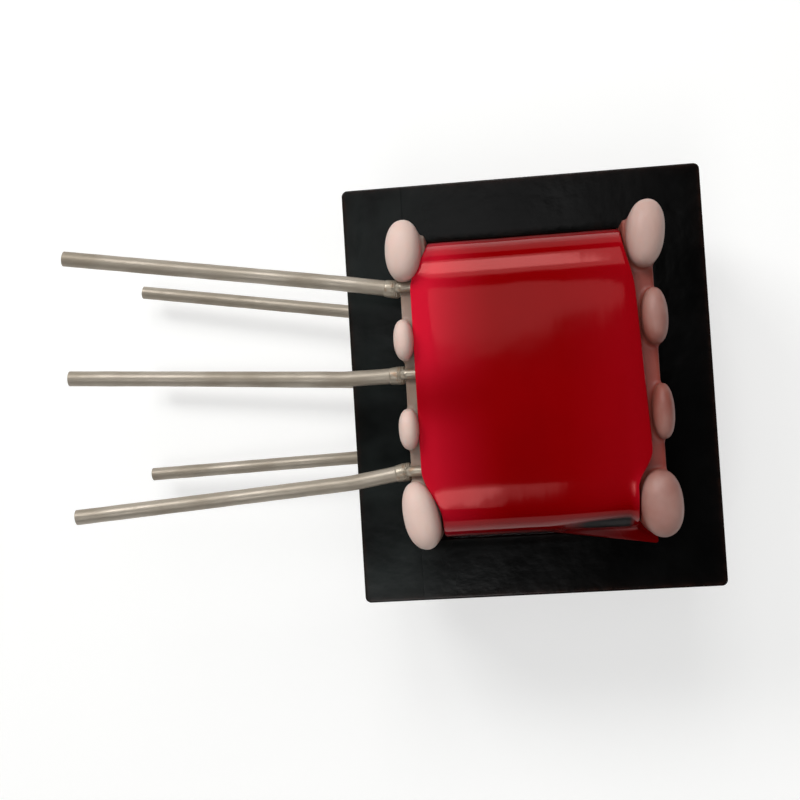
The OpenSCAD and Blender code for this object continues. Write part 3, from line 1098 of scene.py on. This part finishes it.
    def build(self, material: bpy.types.Material) -> None:
        """Builds the flanges and the tube.

        Args:
            material: The nylon.
        """
        for piece in (self.flange(End.BOARD), self.flange(End.FAR), self.tube()):
            dress(piece, material, "moulded_nylon", "bobbin")


# ---- Coil ----


@dataclass
class TapedCoil:
    """The red tape round the coil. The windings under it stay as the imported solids."""

    middle_x: float = 6.0
    tape_y: float = 0.0
    plan_y: float = 0.15
    half_y: float = 4.93
    half_z: float = 4.85
    squareness: float = 7.0
    half_length: float = 3.1
    board_edge: float = 3.68
    far_edge: float = 3.6
    skew: float = 0.2
    board_slope: tuple[float, float, float, float] = (-4.4, -2.75, 3.0, 4.7)
    far_slope: tuple[float, float, float, float] = (-3.7, -2.5, 2.4, 4.4)
    thick: float = 0.2
    film: float = 0.06
    face_share: float = 0.833
    end_angle: float = 284.0
    droop: tuple[float, float] = (0.3, 2.9)
    lift: float = 0.04
    rows: int = 420
    columns: int = 45

    def section(self) -> tuple[np.ndarray, np.ndarray, np.ndarray]:
        """The outside of the coil in Y and Z, from the tape's free end once round.

        |y / half_y|^n + |z / half_z|^n = 1, with points spaced evenly along it.

        Returns:
            The share of the turn, the points, n by 2, and the outward directions, n by 2.
        """
        a = radians(self.end_angle) + np.linspace(0, 2 * np.pi, 20001)
        power = 2 / self.squareness
        y = self.half_y * signed_power(np.cos(a), power)
        z = self.half_z * signed_power(np.sin(a), power)
        curve = np.column_stack([y, z])
        s = distances(curve)
        share = np.concatenate([np.linspace(0, 1, self.rows, endpoint=False), [0.9995]])
        points = read_at(share * s[-1], s, curve)
        slope = self.squareness - 1
        outward = np.column_stack([
            signed_power(points[:, 0] / self.half_y, slope) / self.half_y,
            signed_power(points[:, 1] / self.half_z, slope) / self.half_z,
        ])
        return share, points, outward / np.linalg.norm(outward, axis=1, keepdims=True)

    def edges(self, y: np.ndarray) -> tuple[np.ndarray, np.ndarray]:
        """Where the tape's two edges run, from the coil's middle.

        It is as wide as the coil where it passes the ears, and spreads between them over the
        flanges' ledges, by the smooth step t * t * (3 - 2 * t) of each slope.

        Args:
            y: How far across the coil, from the bobbin's middle.

        Returns:
            X of the edge at the board's end and at the far end.
        """
        shares = []
        for low_start, low_stop, high_stop, high_start in (self.board_slope, self.far_slope):
            low = np.clip((y - low_start) / (low_stop - low_start), 0, 1)
            high = np.clip((high_start - y) / (high_start - high_stop), 0, 1)
            t = np.minimum(low, high)
            shares.append(t * t * (3 - 2 * t))
        far = self.far_edge - self.skew * (np.clip(y / self.far_slope[2], -1, 1) + 1) / 2
        near = self.board_edge - self.half_length
        reach = (far - self.half_length) * shares[1]
        return -self.half_length - near * shares[0], self.half_length + reach

    def waves(self, x: np.ndarray, s: np.ndarray) -> np.ndarray:
        """Height of the tape's slack: ridges along the winding that drift, and a slow ripple.

        Args:
            x: Across the tape.
            s: Along the tape.

        Returns:
            The height, in millimetres.
        """
        ridges = 0.002 * np.sin(2 * np.pi * x / 2.3 + 0.9 * np.sin(s / 3.1))
        return ridges + 0.003 * np.sin(x * 1.1 + s / 1.4)

    def fold(
        self, x: np.ndarray, y: np.ndarray, z: np.ndarray,
    ) -> tuple[np.ndarray, np.ndarray, np.ndarray]:
        """The fold where the tape's slant buckles it, at the shoulder by the far ear at -Y.

        With g(z; a, b) = exp(-((z - a) / b)^2), a lip of height 0.6 * t * g(z; 2.8, 0.17) stands
        over the core's edge and runs 0.75 past the tape's edge, and a crease lies above it,
        -0.12 * t * g(z; 4.1, 0.3). t rises from 0 near the coil's middle to 1 by the tape's far
        edge, where the crease closes again. Painted shade lies thick between the two, and thin on
        the lip.

        Args:
            x: Across the tape, from the coil's middle.
            y: The section's Y.
            z: The section's Z.

        Returns:
            The height, how far the edge runs on, and how much painted shade lies there.
        """
        t = np.clip((x - 0.2) / 2.9, 0, 1) * (y < 0) * (z > 0)
        closed = np.clip((3.0 - x) / 0.2, 0, 1)
        lip = hump(z, 2.8, 0.17)
        crease = hump(z, 4.1, 0.3) * closed
        # Painted shade: thick in the crease above the lip, thin on the lip.
        thick = np.clip(1.8 * hump(z, 3.95, 0.12 + 0.33 * t), 0, 1) * closed
        thin = 0.45 * hump(z, 3.2, 0.45) * np.clip((2.9 - x) / 0.8, 0, 1)
        painted_shade = np.clip(2.5 * t - 0.2, 0, 1) * np.maximum(thick, thin)
        return 0.6 * t * lip - 0.12 * t * crease, 0.75 * t * lip ** 2, painted_shade

    def mark(self, x: np.ndarray, y: np.ndarray, z: np.ndarray, painted_shade: np.ndarray) -> np.ndarray:
        """How bright the tape is painted over its backing, above 0, or how much painted shade, below 0.

        Pale plastic backs it by the board's end, least where the middle lead's wire passes, and a
        little at the far end; the brightness at the board's end is partly painted light, where the
        light falls. It is lighter where the far ear lifts its edge. Painted shade thins up its flanks
        from the core.

        Args:
            x: Across the tape, from the coil's middle.
            y: The section's Y.
            z: The section's Z.
            painted_shade: How much painted shade lies in the fold.

        Returns:
            The mark at each point.
        """
        # Pale plastic under the film, partly real and partly painted light: far more at the board's end
        # and towards +Y, where the light falls.
        plastic = (0.8 - 0.55 * hump(y, -0.3, 1.0) + 0.2 * np.clip(y / 2, -1, 1)) * (z > 0)
        near = plastic * np.clip((-x - 0.9) / 2.3, 0, 1) ** 1.8
        far = 0.12 * np.clip((x - 1.0) / 2.0, 0, 1)
        # Painted shade up the tape's flanks by the core.
        flank = 0.8 * np.clip((3.7 - np.abs(z)) / 0.7, 0, 1) * (painted_shade + 0.3)
        lift = 0.5 * self.lifted(x, y, z)
        return np.where(x < 0, near, far) + lift - 1.2 * np.maximum(painted_shade, flank)

    def lifted(self, x: np.ndarray, y: np.ndarray, z: np.ndarray) -> np.ndarray:
        """Where the far ear at -Y lifts the tape's edge, from 0 to 1."""
        return hump(x, 3.25, 0.25) * hump(y, -3.6, 0.4) * (z > 0)

    def build(
        self, tape: bpy.types.Material, copper: bpy.types.Material, inner: bpy.types.Material,
    ) -> None:
        """Builds the tape: a thin section of three films, carried once round the coil.

        The section goes along the outside, down the far edge over the three films' rounded
        edges, back along the inside and up the other edge. It is as thick as the tape where it
        faces out or up, and a spiral: the free end stands out by a film.

        Args:
            tape: The outer tape.
            copper: The windings.
            inner: The tape between the windings.
        """
        share, section, outward = self.section()
        y, z = section[:, :1], section[:, 1:]
        left, right = self.edges(section[:, 0] + self.tape_y - self.plan_y)
        # How far each point of the far edge draws in, and how deep in the films it lies.
        lips = np.array([0.05, 0.012, 0.0, 0.0, 0.018, 0.0, 0.0, 0.018, 0.0, 0.0])
        depths = np.array([0.0, 0.05, 0.12, 0.3, 0.34, 0.38, 0.63, 0.67, 0.71, 1.0])
        out, down, back = self.columns, len(lips), self.columns // 5
        across = np.concatenate([
            np.linspace(0, 1, out), np.ones(down), np.linspace(0.9, 0.1, back), np.zeros(down),
        ])
        inset = np.concatenate([np.zeros(out), lips, np.zeros(back), -lips[::-1]])
        inset[0], inset[out - 1] = -lips[0], lips[0]
        depth = np.concatenate([np.zeros(out), depths, np.ones(back), depths[::-1]])
        x = left[:, None] + (right - left)[:, None] * across[None] - inset[None]

        full = self.thick * (outward[:, :1] ** 2 + self.face_share * outward[:, 1:] ** 2)
        spiral = self.film * (1 - share)[:, None] * (1 - depth)[None]
        sag, start = self.droop
        sag = sag * np.clip((3.7 - np.abs(y)) / 0.7, 0, 1)
        beyond = np.maximum(np.where(x < 0, -x - start, np.abs(x) - self.half_length), 0)
        fold, run_on, painted_shade = self.fold(x, y, z)
        rise = self.waves(x, share[:, None] * 2 * np.pi * self.half_y) + fold
        rise = rise + self.lift * self.lifted(x, y, z)
        sunk = depth[None] * full + spiral + sag / 2 * beyond ** 2 - rise * (1 - depth)[None]
        x = x + run_on
        yz = section[:, None] - outward[:, None] * sunk[..., None]
        grid = np.stack([x + self.middle_x, yz[..., 0] + self.tape_y, yz[..., 1]], axis=-1)
        shell = Shell()
        shell.add(grid, wrap_rows=True, wrap_columns=True, mark=self.mark(x, y, z, painted_shade))
        piece = shell.piece("wound_tape", "backing_light_and_shade", weld=0.0005, sharp=50)
        dress(piece, tape, "red_polyester_tape", "outer_tape")
        dress_solid("primary_winding", copper)
        dress_solid("secondary_winding", copper)
        dress_solid("inner_tape", inner)


# ---- Leads ----


@dataclass
class WireLead:
    """One tinned lead, with its blind end in the flange and its cut tip, and its termination."""

    face: Face
    number: int
    root: float
    knee: float
    tip: float
    middle_y: float = 0.15
    pitch: float = 2.85
    radius: float = 0.25
    height: float = 3.9
    flare: float = 0.4
    start_x: float = 2.72
    flange_x: float = 1.97
    root_x: float = 1.9
    reach: float = 9.2
    ease: float = 0.5
    sides: int = 40
    step: float = 0.08
    wire: float = 0.035
    bundle: float = 0.17
    valley: float = 4.35
    wrap_gap: float = 0.04
    wrap: float = 0.3
    turn_points: int = 28
    solder: float = 0.2
    coat: float = 0.035

    @property
    def name(self) -> str:
        """The lead's row and number, as its solids are named."""
        return f"{self.face.name.lower()}_{self.number}"

    @property
    def row_y(self) -> float:
        """Its place in the row's even pitch, along Y."""
        return self.middle_y + (2 - self.number) * self.pitch

    def path(self) -> np.ndarray:
        """The lead's axis, with eased bends at its root and at the board seat.

        Returns:
            Its points, from its blind end to its tip.
        """
        up, y = self.face.value, self.row_y
        corners = np.array([
            (self.start_x, y + self.root, up * self.height),
            (self.root_x, y + self.root, up * self.height),
            (0.0, y + self.knee, up * self.height),
            (-self.reach, y + self.tip, up * (self.height + self.flare)),
        ])
        return eased_path(corners, self.ease, self.step)

    def lead(self, material: bpy.types.Material) -> None:
        """Builds the lead: a round section along its path, with a sheared, slightly dished tip.

        The tin runs a little thick and thin: r = radius * (1 + 0.012 * sin(4.1 s) * sin(1.3 s)),
        s being the distance along it. Each lead starts at its own place in the two waves.

        Args:
            material: The tinned wire.
        """
        path = self.path()
        s = np.arange(len(path)) * self.step
        uneven = np.sin(4.1 * s + self.number) * np.sin(1.3 * s + self.knee)
        radii = self.radius * (1 + 0.012 * uneven)
        forward = (path[-1] - path[-2]) / np.linalg.norm(path[-1] - path[-2])
        tip = path[-1] - forward * np.array([[0.035], [0.012], [0.0]])
        path = np.concatenate([path[:-1], tip])
        radii = np.concatenate([radii[:-1], self.radius * np.array([1.0, 0.985, 0.9])])
        shell = Shell()
        shell.add(closed_ends(swept_tube(path, radii, self.sides)), wrap_columns=True)
        piece = shell.piece(f"tinned_lead_{self.name}", sharp=40)
        dress(piece, material, "tinned_copper_clad_steel", f"lead_{self.name}")

    def termination(self, material: bpy.types.Material) -> None:
        """Builds the coil wire's run and its turns round the lead, and the solder over them.

        The turns are a helix round the lead's axis: axis(s) + (radius + 0.3 * wire) *
        (cos a * up + sin a * level), a going once round for each wire's width along s. Its run
        over the flange is a thicker bundle of wires that solder has drawn together. The
        solder is a sleeve that stands 0.002 + coat * sin(pi t)^0.4 * (1 + 0.1 * sin(2 b + 5 t))
        off the lead, t being the share of its length and b the angle round it.

        Args:
            material: The soldered wire.
        """
        path = self.path()
        distance = self.start_x - self.flange_x + self.wrap_gap
        root_y = self.row_y + self.root
        steps = distances(path)
        _, up, level = frames(path)
        side = self.face.value

        turns = self.wrap / (2 * self.wire)
        a = np.linspace(0, 2 * np.pi * turns, int(self.turn_points * turns))
        s = distance + self.wire + (self.wrap - 2 * self.wire) * a / a[-1]
        axis, high, flat = (read_at(s, steps, vectors) for vectors in (path, up, level))
        away = self.radius + 0.3 * self.wire
        helix = axis + away * (side * np.cos(a)[:, None] * high + np.sin(a)[:, None] * flat)
        over_z = side * (self.valley + 0.6 * self.bundle)
        over = np.array([(2.9, root_y, over_z), (self.flange_x + 0.02, root_y, over_z)])
        run = eased_path(np.concatenate([over, helix[:1]]), 0.1, 0.03)
        wire = np.concatenate([run[:-1], helix])
        gauge = np.concatenate([np.full(len(run) - 1, self.bundle), np.full(len(helix), self.wire)])
        shell = Shell()
        shell.add(closed_ends(swept_tube(wire, gauge, 16)), wrap_columns=True)

        t = np.linspace(0, 1, 24)
        s = distance + (self.wrap + self.solder) * t
        b = np.linspace(0, 2 * np.pi, 36, endpoint=False)
        swell = self.coat * np.sin(np.pi * np.clip(t, 0.002, 0.998)) ** 0.4
        lumps = 1 + 0.1 * np.sin(2 * b[None] + 5 * t[:, None] + self.number)
        radii = self.radius + 0.002 + swell[:, None] * lumps
        sleeve = swept_tube(read_at(s, steps, path), radii, len(b))
        shell.add(closed_ends(sleeve), wrap_columns=True)
        piece = shell.piece(f"soldered_{self.name}", weld=0.0005)
        dress(piece, material, "soldered_copper_wire", f"termination_{self.name}")


# ---- Studio ----


@dataclass
class Studio:
    """A pale floor, soft lamps, a plain surround and the camera."""

    lens: float = 53.6
    sensor: float = 36
    camera_at: tuple[float, float, float] = (5.374, -1.645, 42.5)
    camera_turn: tuple[float, float, float] = (1.66, 5.54, -3.52)
    floor_glow: float = 0.57
    dim: float = 0.12
    cove: tuple[float, float] = (0.32, 0.37)

    def lamp(
        self,
        name: str,
        at: Sequence[float],
        towards: Sequence[float],
        size: tuple[float, float],
        radiance: float,
        shape: str = "RECTANGLE",
        mirrored: bool = True,
    ) -> None:
        """Adds a soft lamp of a given brightness.

        Args:
            name: The lamp's name.
            at: Its middle, in millimetres.
            towards: The point that it faces, in millimetres.
            size: Its width and height, in millimetres.
            radiance: How bright its face is, 1 being white.
            shape: RECTANGLE or ELLIPSE.
            mirrored: Whether glossy surfaces show it.
        """
        data = bpy.data.lights.new(name, "AREA")
        data.shape, data.size, data.size_y = shape, size[0] * MM, size[1] * MM
        area = size[0] * size[1] * MM * MM * (np.pi / 4 if shape == "ELLIPSE" else 1)
        data.energy = radiance * np.pi * area
        lamp = bpy.data.objects.new(name, data)
        lamp.location = Vector(at) * MM
        lamp.rotation_euler = (Vector(towards) - Vector(at)).to_track_quat("-Z", "Y").to_euler()
        lamp.visible_glossy = mirrored
        bpy.context.scene.collection.objects.link(lamp)

    def floor(self, height: float) -> None:
        """Adds the floor, a large disc just under the object.

        Its own colour is pale, and where the camera or a reflection sees it, it also glows
        enough to be white but for the object's shadow.

        Args:
            height: Its height, in metres.
        """
        a = np.linspace(0, 2 * np.pi, 64, endpoint=False)
        rings = [np.column_stack([r * np.cos(a), r * np.sin(a), np.zeros(64)]) for r in (0.01, 500.0)]
        shell = Shell()
        shell.add(closed_ends(np.array(rings))[:-1] + [6, 0, height / MM], wrap_columns=True)
        piece = shell.piece("floor")
        if piece.data.polygons[0].normal.z < 0:
            piece.data.flip_normals()
        material, add = blank_material("pale_floor")
        path = add("LightPath")
        seen = path.outputs["Is Camera Ray"]
        for ray in ("Is Glossy Ray", "Is Transmission Ray"):
            seen = add("Math", {0: seen, 1: path.outputs[ray]}, operation="MAXIMUM")
        glow = add("Math", {0: seen, 1: self.floor_glow}, operation="MULTIPLY")
        emission = add("Emission", {"Strength": glow})
        paper = add("BsdfDiffuse", {"Color": linear("#c6c6c4")})
        both = add("AddShader", {0: paper, 1: emission})
        add("OutputMaterial", {"Surface": both})
        piece.data.materials.append(material)

    def surround(self) -> None:
        """Lights the surround: a white cove low down, dark overhead, that sheds only a dim light.

        The cove shows to the camera, to reflections and through clear film. The height at which
        it darkens is the Z of a direction of length 1.
        """
        world = bpy.data.worlds.new("studio")
        world.use_nodes = True
        world.node_tree.nodes.clear()
        add = partial(add_node, world.node_tree)
        direction = add("TexCoord").outputs["Generated"]
        height = add("SeparateXYZ", {0: direction}).outputs["Z"]
        low, high = self.cove
        cove = add("MapRange", {0: height, 1: low, 2: high, 3: 1.0, 4: 0.0})
        path = add("LightPath")
        seen = path.outputs["Is Camera Ray"]
        for ray in ("Is Glossy Ray", "Is Transmission Ray"):
            seen = add("Math", {0: seen, 1: path.outputs[ray]}, operation="MAXIMUM")
        strength = add("Mix", {0: seen, 2: self.dim, 3: cove}, data_type="FLOAT")
        background = add("Background", {"Strength": strength})
        add("OutputWorld", {"Surface": background})
        bpy.context.scene.world = world

    def lamps(self) -> None:
        """Adds the lamps: the main one at the upper left, and others that the glossy tape shows."""
        self.lamp("main", (-76, 88, 116), (5, 0, 4), (60, 60), 9.6)
        self.lamp("overhead", (6, 0, 190), (6, 0, 0), (150, 150), 0.6, mirrored=False)
        self.lamp("ceiling_patch", (1, 23.5, 125), (1, 23.5, 0), (43, 26), 1.15, shape="ELLIPSE")
        self.lamp("window", (-3, 93, 119), (5, 3.6, 4.7), (42, 50), 4.6)
        self.lamp("window_glow", (1, 92, 117), (5, 3.6, 4.7), (62, 76), 1.9)
        self.lamp("low_window", (-17, -60, 140), (-7, -3.5, 4.7), (34, 56), 3.2)
        self.lamp("low_window_glow", (-16, -60, 139), (-7, -3.5, 4.7), (46, 66), 1.2)

    def camera(self) -> None:
        """Adds the camera, nearly overhead."""
        data = bpy.data.cameras.new("camera")
        data.lens, data.sensor_width = self.lens, self.sensor
        data.clip_start, data.clip_end = 0.001, 5
        camera = bpy.data.objects.new("camera", data)
        turn = Euler([radians(v) for v in self.camera_turn], "XYZ").to_matrix().to_4x4()
        camera.matrix_world = Matrix.Translation(Vector(self.camera_at) * MM) @ turn
        bpy.context.scene.collection.objects.link(camera)
        bpy.context.scene.camera = camera

    def build(self, height: float) -> None:
        """Builds the whole studio.

        Args:
            height: The height of the floor, in metres.
        """
        self.floor(height)
        self.surround()
        self.lamps()
        self.camera()
        bpy.context.scene.view_settings.view_transform = "Standard"
        log.info("studio: floor, surround, lamps and camera")


def main() -> None:
    """Builds every piece of the transformer in order, and then the studio."""
    logging.basicConfig(level=logging.INFO, format="%(name)s: %(message)s")
    LacqueredCore().build(BituminousLacquer().material())
    MouldedBobbin().build(MouldedNylon().material())
    amber = PolyesterTape(
        name="amber_polyester_tape", over_copper="#b98a2a", deep="#a5761d", lit_over_plastic="#cfa545",
    )
    TapedCoil().build(PolyesterTape().material(), EnamelledCopper().material(), amber.material())
    tin, solder = TinnedWire().material(), SolderedCopper().material()
    # Sideways offsets, in millimetres, of each lead's root, its bend at the board seat and its tip.
    bends = {
        Face.FRONT: ((0.3, 0.65, 2.1), (0.35, 0.35, 0.95), (0.08, -0.2, -0.8)),
        Face.BACK: ((0.1, 0.45, 2.0), (0.2, 0.6, 1.3), (0.1, 0.55, 0.35)),
    }
    for face, row in bends.items():
        for number, (root, knee, tip) in enumerate(row, start=1):
            lead = WireLead(face, number, root, knee, tip)
            lead.lead(tin)
            lead.termination(solder)
    Studio().build(cad_box[0].z)


if __name__ == "__main__":
    main()
